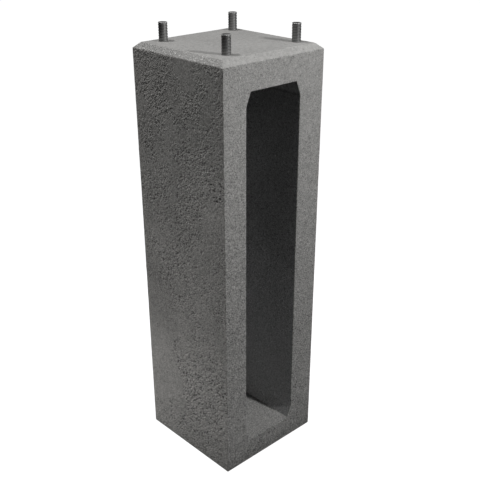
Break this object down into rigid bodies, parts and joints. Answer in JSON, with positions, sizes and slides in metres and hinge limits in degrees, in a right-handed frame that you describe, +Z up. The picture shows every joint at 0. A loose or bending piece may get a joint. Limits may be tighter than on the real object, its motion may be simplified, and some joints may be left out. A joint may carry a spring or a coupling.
{
  "type": "column base block",
  "caption": "Tall square precast concrete pier with a deep side pocket, bevelled top and threaded anchor studs that bolt down a column's base plate.",
  "frame": {"origin": "centre of the block's underside, on the ground", "axes": "+Z up along the block, -Y out of the face with the pocket, +X to the right seen from that face"},
  "size_m": [0.35, 0.35, 1.248],
  "materials": {
    "precast_concrete": "cast grey concrete, fine pitted grain, rougher on the -X face",
    "dark_steel": "dark rolled thread, dull sheen"
  },
  "bodies": {
    "root": {"concrete_block": "precast_concrete", "anchor_stud_front_left": "dark_steel", "anchor_stud_front_right": "dark_steel", "anchor_stud_back_left": "dark_steel", "anchor_stud_back_right": "dark_steel"}
  },
  "joints": []
}
